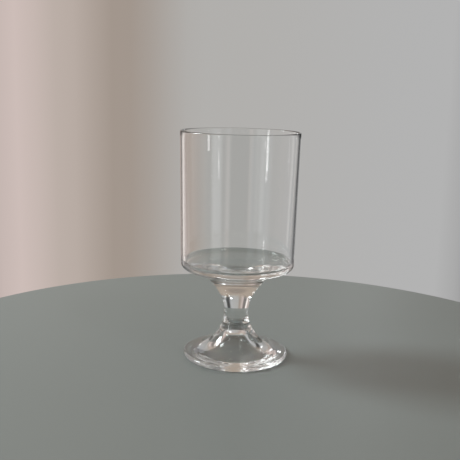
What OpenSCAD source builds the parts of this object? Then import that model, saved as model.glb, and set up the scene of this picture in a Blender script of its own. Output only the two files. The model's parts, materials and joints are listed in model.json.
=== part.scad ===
// Short-stemmed water goblet of clear soda-lime glass, in millimetres.
// Three pieces fused hot, one on top of the other: a blown bowl, a solid stem and a pressed foot.
// The origin is the centre of the foot's resting ring, and +Z is up.

/* [Bowl] */
// Height of the bowl, from its joint with the stem to the lip
bowl_h = 99; // [88:1:110]
// Outer diameter at the lip
mouth_d = 75.3; // [72:0.1:82]
// Outer diameter of the wall just above the rounded shoulder
shoulder_d = 72.4; // [66:0.1:76]
// Wall thickness at the lip
lip_t = 1.5; // [1:0.1:2.5]
// Wall thickness just above the floor
wall_t = 2.0; // [1.4:0.1:3]
// Height of the shoulder's start above the joint with the stem
shoulder_rise = 15.6; // [13:0.1:19]
// Outer radius of the shoulder, where the wall turns under
shoulder_r = 3.6; // [2.5:0.1:5]
// Slope of the bowl's underside, in degrees from the level
underside_slope = 18.4; // [12:0.1:23]
// Diameter at which the underside turns down into the neck
neck_d = 45.4; // [38:0.1:52]
// Glass between the floor's rim and the underside
base_t = 3.7; // [3:0.1:6]
// How far the floor dips from its rim to its middle
floor_dish = 0.7; // [0.3:0.1:1.5]
// Inner radius where the wall meets the floor
floor_fillet_r = 3.8; // [2.5:0.1:4.5]

/* [Stem] */
// Length of the stem between its two fused joints
stem_l = 30; // [25:0.5:36]
// Diameter at the waist, the narrowest place
waist_d = 15.5; // [12.5:0.1:19]
// Height of the waist above the joint with the foot
waist_rise = 14; // [11.5:0.1:17]
// Diameter of the fused joint under the bowl
bowl_joint_d = 28.8; // [24:0.1:33]
// Diameter of the fused joint on the foot
foot_joint_d = 23.6; // [20:0.1:28]

/* [Foot] */
// Height of the foot, from the table to its joint with the stem
foot_h = 16; // [14:0.5:19]
// Diameter of the foot
foot_d = 67.6; // [62:0.1:80]
// Thickness of the foot's rounded edge
foot_edge_t = 3.2; // [2.4:0.1:4]
// Diameter of the hollow's mouth in the underside
hollow_d = 47; // [40:0.1:55]
// Glass left between the hollow's top and the joint with the stem
crown_t = 1.6; // [1.2:0.1:4]
// Width of the hollow's flat top
hollow_top_d = 7; // [4:0.1:9]

/* [Hidden] */
$fn = 144;
glass = [0.86, 0.92, 0.91, 0.45];

// Steepness of the outline at the two fused joints, in degrees from the level
bowl_joint_slope = 53.2;
foot_joint_slope = 58;
// Slope of the foot's top where it runs out into its edge, in degrees
foot_edge_slope = 3.5;
// Slope of the hollow's side at the mouth, in degrees
hollow_mouth_slope = 9;
// How far each curve runs along its end directions, as a share of its chord
neck_pull = [0.5, 0.12];
stem_top_pull = [0.32, 0.33];
stem_low_pull = [0.35, 0.32];
foot_pull = [0.38, 0.36];
hollow_pull = [0.7, 0.18];
// Points along each curve and each rounded corner
curve_steps = 20;
arc_steps = 10;

// Heights of the joints, the shoulder and the lip above the table
foot_joint_z = foot_h;
waist_z = foot_joint_z + waist_rise;
bowl_joint_z = foot_joint_z + stem_l;
shoulder_z = bowl_joint_z + shoulder_rise;
lip_z = bowl_joint_z + bowl_h;
// Depth of the hollow under the foot
hollow_h = foot_joint_z - crown_t;

// Where the shoulder's arc runs out into the sloping underside
shoulder_c = [shoulder_d / 2 - shoulder_r, shoulder_z];
underside_end = shoulder_c + shoulder_r * [sin(underside_slope), -cos(underside_slope)];

// Height of the straight underside at radius r
function underside_z(r) = underside_end[1] - (underside_end[0] - r) * tan(underside_slope);

// The floor's rim, where the inner fillet meets it
fillet_c_r = shoulder_d / 2 - wall_t - floor_fillet_r;
floor_z = underside_z(fillet_c_r) + base_t;
fillet_c = [fillet_c_r, floor_z + floor_fillet_r];

// A point on a cubic curve through a and d, drawn towards b and c
function cubic(a, b, c, d, t) =
    pow(1 - t, 3) * a + 3 * pow(1 - t, 2) * t * b + 3 * (1 - t) * pow(t, 2) * c + pow(t, 3) * d;

// A curve from p to q that leaves p and arrives at q in the given directions, in degrees from +X
function flow(p, p_dir, q, q_dir, pull) =
    let (chord = norm(q - p))
    [for (i = [0:curve_steps]) cubic(
        p, p + pull[0] * chord * [cos(p_dir), sin(p_dir)],
        q - pull[1] * chord * [cos(q_dir), sin(q_dir)], q, i / curve_steps)];

// An arc about c from angle a0 to a1
function arc(c, r, a0, a1) =
    [for (i = [0:arc_steps]) let (a = a0 + (a1 - a0) * i / arc_steps) c + r * [cos(a), sin(a)]];

// The turning points that the outline shares from piece to piece
bowl_joint = [bowl_joint_d / 2, bowl_joint_z];
waist = [waist_d / 2, waist_z];
foot_joint = [foot_joint_d / 2, foot_joint_z];
foot_edge_c = [(foot_d - foot_edge_t) / 2, foot_edge_t / 2];
foot_top_end = foot_edge_c + foot_edge_t / 2 * [sin(foot_edge_slope), cos(foot_edge_slope)];

// The lip is rounded to a half circle by the flame
lip_c = [(mouth_d - lip_t) / 2, lip_z - lip_t / 2];

// Blown bowl: a nearly straight wall, a tight shoulder and a thick sloping base that ends in a neck
module bowl() {
    outside = concat(
        [[0, bowl_joint_z]],
        flow(bowl_joint, bowl_joint_slope, [neck_d / 2, underside_z(neck_d / 2)], underside_slope, neck_pull),
        arc(shoulder_c, shoulder_r, underside_slope - 90, 0));
    lip = arc(lip_c, lip_t / 2, 0, 180);
    inside = concat(
        arc(fillet_c, floor_fillet_r, 0, -90),
        flow([fillet_c_r, floor_z], 180 + underside_slope / 4, [0, floor_z - floor_dish], 180, [0.3, 0.4]));
    color(glass) rotate_extrude() polygon(concat(outside, lip, inside));
}

// Solid stem, drawn in to a waist between the two joints
module stem() {
    lower = flow(foot_joint, 180 - foot_joint_slope, waist, 90, [stem_low_pull[1], stem_low_pull[0]]);
    upper = flow(waist, 90, bowl_joint, bowl_joint_slope, stem_top_pull);
    color(glass) rotate_extrude()
        polygon(concat([[0, foot_joint_z]], lower, [for (i = [1:curve_steps]) upper[i]], [[0, bowl_joint_z]]));
}

// Pressed foot: a flared top, a rounded edge, a flat ring to rest on and a bell-shaped hollow underneath
module foot() {
    top = flow(foot_joint, -foot_joint_slope, foot_top_end, -foot_edge_slope, foot_pull);
    edge = arc(foot_edge_c, foot_edge_t / 2, 90 - foot_edge_slope, -90);
    hollow = flow([hollow_d / 2, 0], 180 - hollow_mouth_slope, [hollow_top_d / 2, hollow_h], 180, hollow_pull);
    color(glass) rotate_extrude()
        polygon(concat([[0, foot_joint_z]], top, [for (i = [1:arc_steps]) edge[i]], hollow, [[0, hollow_h]]));
}

bowl();
stem();
foot();
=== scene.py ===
import json
import math

import bmesh
import bpy
from mathutils import Matrix, Vector

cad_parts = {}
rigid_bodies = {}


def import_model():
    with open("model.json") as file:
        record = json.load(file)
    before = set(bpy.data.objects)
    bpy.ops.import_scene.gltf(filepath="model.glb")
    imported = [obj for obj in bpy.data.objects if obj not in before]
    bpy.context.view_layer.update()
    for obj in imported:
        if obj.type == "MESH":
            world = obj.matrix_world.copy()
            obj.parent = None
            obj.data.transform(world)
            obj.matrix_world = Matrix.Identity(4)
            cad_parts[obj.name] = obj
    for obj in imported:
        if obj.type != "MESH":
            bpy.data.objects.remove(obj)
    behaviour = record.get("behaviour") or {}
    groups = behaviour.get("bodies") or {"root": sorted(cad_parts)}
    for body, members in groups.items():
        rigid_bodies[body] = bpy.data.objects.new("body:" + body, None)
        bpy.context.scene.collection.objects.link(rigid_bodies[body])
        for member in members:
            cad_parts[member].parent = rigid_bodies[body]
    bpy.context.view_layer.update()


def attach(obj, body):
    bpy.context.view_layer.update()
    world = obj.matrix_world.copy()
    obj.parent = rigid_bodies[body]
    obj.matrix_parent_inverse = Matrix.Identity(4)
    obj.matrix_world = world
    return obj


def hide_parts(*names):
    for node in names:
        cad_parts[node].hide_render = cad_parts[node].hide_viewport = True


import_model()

# Sizes in millimetres, the same as the CAD's
BOWL = {
    "Joint radius": 14.4, "Joint height": 46.0, "Joint slope": 53.2,
    "Neck radius": 22.7, "Underside slope": 18.4,
    "Shoulder radius": 36.2, "Shoulder rounding": 3.6, "Shoulder height": 61.6,
    "Lip radius": 37.65, "Lip height": 145.0, "Lip thickness": 1.5,
    "Wall thickness": 2.0, "Floor fillet": 3.8, "Base thickness": 3.7, "Floor dish": 0.7,
}
STEM = {
    "Foot joint radius": 11.8, "Foot joint height": 16.0, "Foot joint slope": 58.0,
    "Waist radius": 7.75, "Waist height": 30.0,
    "Bowl joint radius": 14.4, "Bowl joint height": 46.0, "Bowl joint slope": 53.2,
}
FOOT = {
    "Joint radius": 11.8, "Joint height": 16.0, "Joint slope": 58.0,
    "Foot radius": 33.8, "Edge thickness": 3.2, "Edge slope": 3.5,
    "Hollow radius": 23.5, "Hollow depth": 14.4, "Hollow top radius": 3.5, "Hollow mouth slope": 9.0,
}
# How far each curve runs along its end directions, as a share of its chord
NECK_PULL = (0.5, 0.12)
FLOOR_PULL = (0.3, 0.4)
STEM_LOW_PULL = (0.32, 0.35)
STEM_TOP_PULL = (0.32, 0.33)
HOLLOW_PULL = (0.18, 0.7)
FOOT_PULL = (0.36, 0.38)

MM = 0.001
AROUND = 256            # faces round the axis
LATHE_RADIUS = 10.0     # of the circle that carries a section round, in millimetres
WELD_GAP = 0.0005       # points closer than this are one, in millimetres
CREASE_ANGLE = 19       # edges bent by more degrees than this stay sharp

GLASS_IOR = 1.51
GLASS_TINT = (0.985, 0.992, 0.988, 1.0)
# The waver of the glass: how often it comes along X, Y and Z in a metre, and its height in metres
BLOWN_WAVER = (60.0, 60.0, 6.0), 0.00003
PRESSED_WAVER = (130.0, 130.0, 110.0), 0.00006

# The table top, in metres. The gap under the foot keeps the two faces apart.
TABLE_CENTRE = (0.0074, -0.0386)
TABLE_RADIUS, TABLE_THICKNESS, TABLE_ROUNDING, TABLE_GAP = 0.2524, 0.018, 0.004, 0.00005
TABLE_COLOUR = (0.246, 0.277, 0.273, 1.0)

# The room's wall: bearing from the middle of the view, in degrees to the right, and colour
WALLS = [
    (-180, (0.06, 0.065, 0.07)), (-164, (0.07, 0.07, 0.07)), (-158, (0.75, 0.60, 0.55)),
    (-150, (0.16, 0.15, 0.15)), (-142, (0.80, 0.82, 0.84)), (-130, (0.90, 0.90, 0.90)),
    (-122, (0.20, 0.19, 0.19)), (-105, (0.52, 0.43, 0.40)), (-80, (0.70, 0.58, 0.54)),
    (-47, (0.52, 0.43, 0.40)), (-41, (1.10, 1.01, 0.96)), (-36, (1.10, 1.01, 0.96)),
    (-31, (0.20, 0.18, 0.17)), (-23, (0.20, 0.18, 0.17)), (-17, (0.61, 0.51, 0.48)),
    (-13.5, (0.49, 0.42, 0.38)), (-9.3, (0.355, 0.30, 0.26)), (-3, (0.44, 0.43, 0.415)),
    (15.5, (0.45, 0.45, 0.45)), (19, (0.30, 0.30, 0.30)), (22, (0.05, 0.05, 0.05)),
    (31, (0.05, 0.05, 0.05)), (38, (0.42, 0.42, 0.42)), (62, (0.48, 0.48, 0.49)),
    (86, (0.20, 0.20, 0.21)), (112, (0.16, 0.17, 0.18)), (126, (0.70, 0.74, 0.80)),
    (136, (0.60, 0.63, 0.68)), (144, (0.12, 0.12, 0.13)), (156, (0.42, 0.47, 0.54)),
    (164, (0.07, 0.07, 0.08)), (180, (0.06, 0.065, 0.07)),
]
# Height above the level in degrees: how far the wall has given way to the ceiling, and the ceiling's colour
WALL_TOP = [(-90, (0.0, 0.0, 0.0)), (22, (0.0, 0.0, 0.0)), (40, (1.0, 1.0, 1.0)), (90, (1.0, 1.0, 1.0))]
CEILING = [
    (-90, (0.45, 0.37, 0.305)), (64, (0.45, 0.37, 0.305)),
    (78, (0.32, 0.27, 0.23)), (90, (0.32, 0.27, 0.23)),
]
# Soft boxes: name, place, what it points at, width and height, power in watts, and colour
LAMPS = [
    ("window", (-1.0, 0.25, 0.75), (0.0, 0.0, 0.07), (0.36, 0.36), 10.0, (0.90, 0.98, 1.0)),
    ("tall gap", (-1.04, -0.60, 0.358), (0.0, 0.0, 0.10), (0.10, 0.75), 1.5, (1.0, 1.0, 1.0)),
    ("high panel", (0.30, 1.25, 0.50), (0.0, 0.0, 0.05), (0.09, 0.05), 0.14, (0.94, 0.98, 1.0)),
    ("low glint", (0.86, -0.83, 0.03), (0.0, 0.0, 0.12), (0.06, 0.045), 0.03, (1.0, 1.0, 1.0)),
    ("rim glint", (0.55, -0.60, 1.0), (0.0, 0.0, 0.12), (0.12, 0.12), 0.5, (1.0, 1.0, 1.0)),
]
# The photograph's own view: place in metres, angles in degrees, focal length and width in pixels
CAMERA_PLACE = (0.0, -0.4584, 0.1715)
CAMERA_PITCH, CAMERA_YAW, CAMERA_ROLL = 11.0, -0.656, -1.353
FOCAL_PIXELS, WIDTH_PIXELS = 734.1, 460.0
SENSOR_WIDTH = 36.0
# Light turns many times inside solid glass before it comes out
MOST_BOUNCES, MOST_REFLECTIONS = 32, 24


class Size:
    """A number in a node tree. Sums with sizes become Math nodes."""

    def __init__(self, tree, socket):
        self.tree, self.socket = tree, socket

    def _math(self, operation, *values):
        node = self.tree.nodes.new("ShaderNodeMath")
        node.operation = operation
        for slot, value in zip(node.inputs, values):
            feed(self.tree, slot, value)
        return Size(self.tree, node.outputs[0])

    def __add__(self, other):
        return self._math("ADD", self, other)

    def __radd__(self, other):
        return self._math("ADD", other, self)

    def __sub__(self, other):
        return self._math("SUBTRACT", self, other)

    def __rsub__(self, other):
        return self._math("SUBTRACT", other, self)

    def __mul__(self, other):
        return self._math("MULTIPLY", self, other)

    def __truediv__(self, other):
        return self._math("DIVIDE", self, other)

    def __neg__(self):
        return self._math("MULTIPLY", self, -1.0)

    def rad(self):
        return self._math("RADIANS", self)

    def sin(self):
        return self._math("SINE", self.rad())

    def cos(self):
        return self._math("COSINE", self.rad())

    def tan(self):
        return self._math("TANGENT", self.rad())

    def root(self):
        return self._math("SQRT", self)


def feed(tree, slot, value):
    """Link a size or a node's output into a socket, or write a plain value on it."""
    if isinstance(value, Size):
        value = value.socket
    if isinstance(value, bpy.types.NodeSocket):
        tree.links.new(value, slot)
    else:
        slot.default_value = value


class Section:
    """The outline that a piece is turned from: radius to the right and height up, in millimetres."""

    def __init__(self, name, sizes):
        self.tree = bpy.data.node_groups.new(name, "GeometryNodeTree")
        self.tree.interface.new_socket("Geometry", in_out="OUTPUT", socket_type="NodeSocketGeometry")
        self.sizes, self.ids = sizes, {}
        for label, value in sizes.items():
            socket = self.tree.interface.new_socket(label, in_out="INPUT", socket_type="NodeSocketFloat")
            socket.default_value = value
            self.ids[label] = socket.identifier
        self.source = self._node("NodeGroupInput")
        self.skin, self.seams = [], []

    def __getitem__(self, label):
        return Size(self.tree, self.source.outputs[label])

    def _node(self, kind, feeds=(), **settings):
        """Add a node, make its settings, and feed its sockets, each given by name or number."""
        node = self.tree.nodes.new(kind)
        for setting, value in settings.items():
            setattr(node, setting, value)
        for slot, value in feeds:
            feed(self.tree, node.inputs[slot], value)
        return node

    def _point(self, place):
        return self._node("ShaderNodeCombineXYZ", [(0, place[0]), (1, place[1])]).outputs[0]

    def flow(self, start, start_dir, end, end_dir, pull, steps=28):
        """A curve from start to end that leaves and arrives along unit directions."""
        run, rise = end[0] - start[0], end[1] - start[1]
        chord = (run * run + rise * rise).root()
        lead, tail = chord * pull[0], chord * pull[1]
        self._curve(
            start, (start[0] + lead * start_dir[0], start[1] + lead * start_dir[1]),
            (end[0] - tail * end_dir[0], end[1] - tail * end_dir[1]), end, steps, self.skin)

    def line(self, start, end, steps):
        """A straight part of the piece's surface."""
        self._straight(start, end, steps, self.skin)

    def joint(self, start, end):
        """A straight part that another piece is fused to."""
        self._straight(start, end, 12, self.seams)

    def _straight(self, start, end, steps, part):
        third = ((end[0] - start[0]) / 3, (end[1] - start[1]) / 3)
        self._curve(
            start, (start[0] + third[0], start[1] + third[1]),
            (end[0] - third[0], end[1] - third[1]), end, steps, part)

    def _curve(self, start, start_handle, end_handle, end, steps, part):
        curve = self._node("GeometryNodeCurvePrimitiveBezierSegment", [
            ("Resolution", steps),
            ("Start", self._point(start)), ("Start Handle", self._point(start_handle)),
            ("End Handle", self._point(end_handle)), ("End", self._point(end))], mode="POSITION")
        part.append(curve.outputs[0])

    def arc(self, centre, radius, first, sweep, steps=14):
        """An arc about centre from the angle first through sweep, in degrees."""
        first, sweep = (
            angle.rad() if isinstance(angle, Size) else math.radians(angle) for angle in (first, sweep))
        curve = self._node("GeometryNodeCurveArc", [
            ("Resolution", steps + 1), ("Radius", radius), ("Start Angle", first), ("Sweep Angle", sweep)])
        move = self._node("GeometryNodeTransform", [
            ("Geometry", curve.outputs["Curve"]), ("Translation", self._point(centre))])
        self.skin.append(move.outputs[0])

    def _turned(self, part, circle):
        """The curves of one part of the section, carried round the axis, with faces outward."""
        joined = self._node("GeometryNodeJoinGeometry", [(0, curve) for curve in part])
        place = self._node("GeometryNodeTransform", [
            ("Geometry", joined.outputs[0]), ("Translation", (-LATHE_RADIUS, 0.0, 0.0)),
            ("Scale", (1.0, -1.0, 1.0))])
        sweep = self._node("GeometryNodeCurveToMesh", [
            ("Curve", circle), ("Profile Curve", place.outputs[0])])
        return self._node("GeometryNodeFlipFaces", [("Mesh", sweep.outputs[0])]).outputs[0]

    def _welded(self, skin, seams):
        """Both parts as one closed body, smooth except at its creases."""
        whole = self._node("GeometryNodeJoinGeometry", [(0, seams), (0, skin)])
        weld = self._node("GeometryNodeMergeByDistance", [
            ("Geometry", whole.outputs[0]), ("Distance", WELD_GAP)])
        smooth = self._node("GeometryNodeSetShadeSmooth", [("Geometry", weld.outputs[0])])
        bend = self._node("GeometryNodeInputMeshEdgeAngle")
        sharp = self._node("FunctionNodeCompare", [
            (0, bend.outputs["Unsigned Angle"]), (1, math.radians(CREASE_ANGLE))], operation="GREATER_THAN")
        return self._node("GeometryNodeSetShadeSmooth", [
            ("Geometry", smooth.outputs[0]), ("Selection", sharp.outputs[0]), ("Shade Smooth", False)],
            domain="EDGE").outputs[0]

    def turn(self, name, skin_finish, seam_finish):
        """Turn the section round the axis, close it, and return it as a plain mesh object."""
        ring = self._node("GeometryNodeCurvePrimitiveCircle", [
            ("Resolution", AROUND), ("Radius", LATHE_RADIUS)])
        upright = self._node("GeometryNodeSetCurveNormal", [("Curve", ring.outputs["Curve"])], mode="Z_UP")
        circle = upright.outputs[0]
        seam = self._node("GeometryNodeCaptureAttribute", domain="FACE")
        seam.capture_items.new("BOOLEAN", "Seam")
        feed(self.tree, seam.inputs["Geometry"], self._turned(self.seams, circle))
        feed(self.tree, seam.inputs[1], True)

        body = self._welded(self._turned(self.skin, circle), seam.outputs["Geometry"])
        metres = self._node("GeometryNodeTransform", [("Geometry", body), ("Scale", (MM, MM, MM))])
        real = self._node("GeometryNodeRealizeInstances", [(0, metres.outputs[0])])
        skin = self._node("GeometryNodeSetMaterial", [
            ("Geometry", real.outputs[0]), ("Material", skin_finish)])
        fused = self._node("GeometryNodeSetMaterial", [
            ("Geometry", skin.outputs[0]), ("Selection", seam.outputs[1]), ("Material", seam_finish)])
        self._node("NodeGroupOutput", [(0, fused.outputs[0])])
        return self._made(name)

    def _made(self, name):
        """Run the tree with its sizes and keep the result as a plain mesh object."""
        blank = bpy.data.objects.new(name + "_blank", bpy.data.meshes.new(name + "_blank"))
        bpy.context.scene.collection.objects.link(blank)
        lathe = blank.modifiers.new("Lathe", "NODES")
        lathe.node_group = self.tree
        for label, value in self.sizes.items():
            lathe[self.ids[label]] = value
        bpy.context.view_layer.update()
        graph = bpy.context.evaluated_depsgraph_get()
        mesh = bpy.data.meshes.new_from_object(blank.evaluated_get(graph), depsgraph=graph)
        bpy.data.objects.remove(blank)
        mesh.name = name
        keep_used_slots(mesh)
        piece = bpy.data.objects.new(name, mesh)
        bpy.context.scene.collection.objects.link(piece)
        return piece


def keep_used_slots(mesh):
    """Drop the material slots that no face of the mesh uses."""
    used = sorted({face.material_index for face in mesh.polygons})
    finishes = [mesh.materials[i] for i in used]
    slots = [used.index(face.material_index) for face in mesh.polygons]
    mesh.materials.clear()
    for finish in finishes:
        mesh.materials.append(finish)
    mesh.polygons.foreach_set("material_index", slots)


def turned_bowl(blown, fused):
    """The blown bowl: nearly straight wall, tight shoulder, thick sloping base and the top of the neck."""
    s = Section("Bowl section", BOWL)
    slope, rounding, fillet = s["Underside slope"], s["Shoulder rounding"], s["Floor fillet"]
    joint_slope = s["Joint slope"]
    joint = (s["Joint radius"], s["Joint height"])
    shoulder = (s["Shoulder radius"] - rounding, s["Shoulder height"])
    under = (shoulder[0] + rounding * slope.sin(), shoulder[1] - rounding * slope.cos())
    neck = (s["Neck radius"], under[1] - (under[0] - s["Neck radius"]) * slope.tan())
    fillet_r = s["Shoulder radius"] - s["Wall thickness"] - fillet
    floor = under[1] - (under[0] - fillet_r) * slope.tan() + s["Base thickness"]
    lip = (s["Lip radius"] - s["Lip thickness"] / 2, s["Lip height"] - s["Lip thickness"] / 2)
    dip = slope / 4

    s.joint((0.0, joint[1]), joint)
    s.flow(joint, (joint_slope.cos(), joint_slope.sin()), neck, (slope.cos(), slope.sin()), NECK_PULL)
    s.line(neck, under, steps=10)
    s.arc(shoulder, rounding, slope - 90.0, 90.0 - slope)
    s.line((s["Shoulder radius"], shoulder[1]), (s["Lip radius"], lip[1]), steps=24)
    s.arc(lip, s["Lip thickness"] / 2, 0.0, 180.0, steps=16)
    s.line((s["Lip radius"] - s["Lip thickness"], lip[1]), (fillet_r + fillet, floor + fillet), steps=24)
    s.arc((fillet_r, floor + fillet), fillet, 0.0, -90.0)
    s.flow((fillet_r, floor), (-dip.cos(), -dip.sin()), (0.0, floor - s["Floor dish"]), (-1.0, 0.0),
           FLOOR_PULL, steps=20)
    return s.turn("glass_bowl", blown, fused)


def drawn_stem(pressed, fused):
    """The solid stem, drawn in to a waist between its two fused joints."""
    s = Section("Stem section", STEM)
    low_slope, top_slope = s["Foot joint slope"], s["Bowl joint slope"]
    low = (s["Foot joint radius"], s["Foot joint height"])
    waist = (s["Waist radius"], s["Waist height"])
    top = (s["Bowl joint radius"], s["Bowl joint height"])

    s.joint((0.0, low[1]), low)
    s.flow(low, (-low_slope.cos(), low_slope.sin()), waist, (0.0, 1.0), STEM_LOW_PULL)
    s.flow(waist, (0.0, 1.0), top, (top_slope.cos(), top_slope.sin()), STEM_TOP_PULL)
    s.joint(top, (0.0, top[1]))
    return s.turn("glass_stem", pressed, fused)


def pressed_foot(pressed, fused):
    """The pressed foot: flared top, rounded edge, flat resting ring and the hollow underneath."""
    s = Section("Foot section", FOOT)
    edge_slope, mouth_slope, joint_slope = s["Edge slope"], s["Hollow mouth slope"], s["Joint slope"]
    joint = (s["Joint radius"], s["Joint height"])
    half = s["Edge thickness"] / 2
    edge = (s["Foot radius"] - half, half)
    top_end = (edge[0] + half * edge_slope.sin(), edge[1] + half * edge_slope.cos())
    mouth = (s["Hollow radius"], 0.0)
    crown = (s["Hollow top radius"], s["Hollow depth"])

    s.line((0.0, crown[1]), crown, steps=6)
    s.flow(crown, (1.0, 0.0), mouth, (mouth_slope.cos(), -mouth_slope.sin()), HOLLOW_PULL)
    s.line(mouth, (edge[0], 0.0), steps=8)
    s.arc(edge, half, -90.0, 180.0 - edge_slope, steps=16)
    s.flow(top_end, (-edge_slope.cos(), edge_slope.sin()), joint, (-joint_slope.cos(), joint_slope.sin()),
           FOOT_PULL, steps=32)
    s.joint(joint, (0.0, joint[1]))
    return s.turn("glass_foot", pressed, fused)


def new_finish(name):
    """A new material, with its nodes and links."""
    finish = bpy.data.materials.new(name)
    finish.use_nodes = True
    return finish, finish.node_tree.nodes, finish.node_tree.links


def glass(name, waver):
    """Clear soda-lime glass, with the faint waver that the maker's tools leave in its surface."""
    often, depth = waver
    finish, nodes, links = new_finish(name)
    shader = nodes["Principled BSDF"]
    shader.inputs["Base Color"].default_value = GLASS_TINT
    shader.inputs["Transmission Weight"].default_value = 1.0
    shader.inputs["IOR"].default_value = GLASS_IOR
    shader.inputs["Roughness"].default_value = 0.0
    place = nodes.new("ShaderNodeTexCoord")
    stretch = nodes.new("ShaderNodeMapping")
    stretch.inputs["Scale"].default_value = often
    links.new(place.outputs["Object"], stretch.inputs["Vector"])
    uneven = nodes.new("ShaderNodeTexNoise")
    uneven.inputs["Scale"].default_value = 1.0
    uneven.inputs["Detail"].default_value = 1.5
    uneven.inputs["Roughness"].default_value = 0.4
    links.new(stretch.outputs[0], uneven.inputs["Vector"])
    relief = nodes.new("ShaderNodeBump")
    relief.inputs["Strength"].default_value = 1.0
    relief.inputs["Distance"].default_value = depth
    links.new(uneven.outputs[0], relief.inputs["Height"])
    links.new(relief.outputs[0], shader.inputs["Normal"])
    return finish


def fused_seam():
    """Where two pieces are fused no surface is left inside the glass, so light goes straight on."""
    finish, nodes, links = new_finish("fused seam")
    nodes.remove(nodes["Principled BSDF"])
    clear = nodes.new("ShaderNodeBsdfTransparent")
    links.new(clear.outputs[0], nodes["Material Output"].inputs["Surface"])
    return finish


def painted_top():
    """Round table top that the goblet stands on, painted a matt grey-green."""
    finish, nodes, _ = new_finish("table paint")
    shader = nodes["Principled BSDF"]
    shader.inputs["Base Color"].default_value = TABLE_COLOUR
    shader.inputs["Roughness"].default_value = 0.42
    shader.inputs["Specular IOR Level"].default_value = 0.5
    rounded = [
        (TABLE_RADIUS - TABLE_ROUNDING * (1 - math.sin(math.radians(angle))),
         -TABLE_GAP - TABLE_ROUNDING * (1 - math.cos(math.radians(angle)))) for angle in range(0, 91, 15)]
    outline = [(0.0, -TABLE_GAP), *rounded, (TABLE_RADIUS, -TABLE_THICKNESS), (0.0, -TABLE_THICKNESS)]
    mesh = bpy.data.meshes.new("table_top")
    bm = bmesh.new()
    verts = [bm.verts.new((TABLE_CENTRE[0] + radius, TABLE_CENTRE[1], height)) for radius, height in outline]
    edges = [bm.edges.new(pair) for pair in zip(verts, verts[1:])]
    bmesh.ops.spin(bm, geom=verts + edges, cent=(*TABLE_CENTRE, 0), axis=(0, 0, 1), angle=math.tau,
                   steps=180, use_duplicate=False)
    bmesh.ops.remove_doubles(bm, verts=bm.verts, dist=1e-6)
    bmesh.ops.recalc_face_normals(bm, faces=bm.faces)
    bm.to_mesh(mesh)
    bm.free()
    mesh.materials.append(finish)
    top = bpy.data.objects.new("table_top", mesh)
    bpy.context.scene.collection.objects.link(top)


def ramp(nodes, links, source, low, high, stops):
    """A colour ramp over source, spread from low to high."""
    spread = nodes.new("ShaderNodeMapRange")
    spread.inputs["From Min"].default_value = low
    spread.inputs["From Max"].default_value = high
    links.new(source, spread.inputs["Value"])
    band = nodes.new("ShaderNodeValToRGB")
    band.color_ramp.interpolation = "EASE"
    links.new(spread.outputs[0], band.inputs[0])
    points = band.color_ramp.elements
    for i, (place, colour) in enumerate(stops):
        point = points[i] if i < 2 else points.new(place)
        point.position = place
        point.color = (*colour, 1.0)
    return band.outputs[0]


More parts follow.
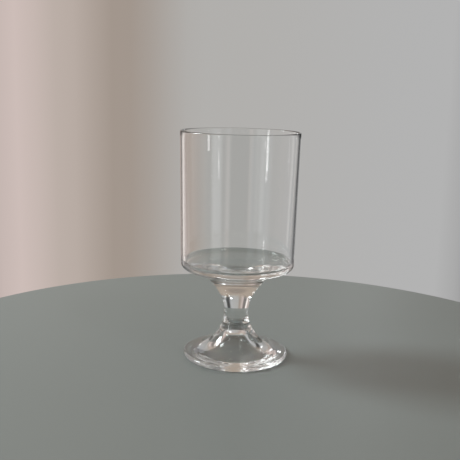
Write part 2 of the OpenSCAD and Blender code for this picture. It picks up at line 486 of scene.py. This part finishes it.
def room():
    """Light from the room, by direction alone: a wall all round, its colour changing with the bearing, and a
    warm ceiling."""
    world = bpy.context.scene.world or bpy.data.worlds.new("room")
    bpy.context.scene.world = world
    world.use_nodes = True
    nodes, links = world.node_tree.nodes, world.node_tree.links
    direction = nodes.new("ShaderNodeTexCoord")
    parts = nodes.new("ShaderNodeSeparateXYZ")
    links.new(direction.outputs["Generated"], parts.inputs[0])
    across, along, up = parts.outputs
    bearing = nodes.new("ShaderNodeMath")
    bearing.operation = "ARCTAN2"
    links.new(across, bearing.inputs[0])
    links.new(along, bearing.inputs[1])

    def over_height(stops):
        return ramp(nodes, links, up, -1.0, 1.0, [
            (math.sin(math.radians(height)) / 2 + 0.5, colour) for height, colour in stops])

    meet = nodes.new("ShaderNodeMix")
    meet.data_type = "RGBA"
    links.new(over_height(WALL_TOP), meet.inputs["Factor"])
    links.new(ramp(nodes, links, bearing.outputs[0], -math.pi, math.pi, [
        (degrees / 360 + 0.5, colour) for degrees, colour in WALLS]), meet.inputs["A"])
    links.new(over_height(CEILING), meet.inputs["B"])
    links.new(meet.outputs["Result"], nodes["Background"].inputs["Color"])


def soft_box(name, place, towards, size, power, colour):
    light = bpy.data.lights.new(name, "AREA")
    light.shape = "RECTANGLE"
    light.size, light.size_y = size
    light.energy = power
    light.color = colour
    lamp = bpy.data.objects.new(name, light)
    aim = (Vector(towards) - Vector(place)).to_track_quat("-Z", "Y")
    lamp.matrix_world = Matrix.Translation(place) @ aim.to_matrix().to_4x4()
    bpy.context.scene.collection.objects.link(lamp)


def camera():
    pitch, yaw, roll = (math.radians(angle) for angle in (CAMERA_PITCH, CAMERA_YAW, CAMERA_ROLL))
    ahead = Vector((math.sin(yaw) * math.cos(pitch), math.cos(yaw) * math.cos(pitch), -math.sin(pitch)))
    side = Vector((math.cos(yaw), -math.sin(yaw), 0.0))
    down = ahead.cross(side)
    right = math.cos(roll) * side + math.sin(roll) * down
    up = math.sin(roll) * side - math.cos(roll) * down
    lens = bpy.data.cameras.new("camera")
    lens.sensor_width = SENSOR_WIDTH
    lens.lens = FOCAL_PIXELS / WIDTH_PIXELS * SENSOR_WIDTH
    lens.clip_start = 0.01
    view = bpy.data.objects.new("camera", lens)
    view.matrix_world = Matrix.Translation(CAMERA_PLACE) @ Matrix((right, up, -ahead)).transposed().to_4x4()
    bpy.context.scene.collection.objects.link(view)
    bpy.context.scene.camera = view


scene = bpy.context.scene
scene.view_settings.view_transform = "Standard"
scene.cycles.max_bounces = scene.cycles.transmission_bounces = MOST_BOUNCES
scene.cycles.transparent_max_bounces = MOST_BOUNCES
scene.cycles.glossy_bounces = MOST_REFLECTIONS

blown = glass("blown glass", BLOWN_WAVER)
pressed = glass("pressed glass", PRESSED_WAVER)
fused = fused_seam()

for piece, node in (
        (turned_bowl(blown, fused), "bowl"),
        (drawn_stem(pressed, fused), "stem"),
        (pressed_foot(pressed, fused), "foot")):
    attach(piece, "root")
    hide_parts(node)

camera()
painted_top()
room()
for box in LAMPS:
    soft_box(*box)
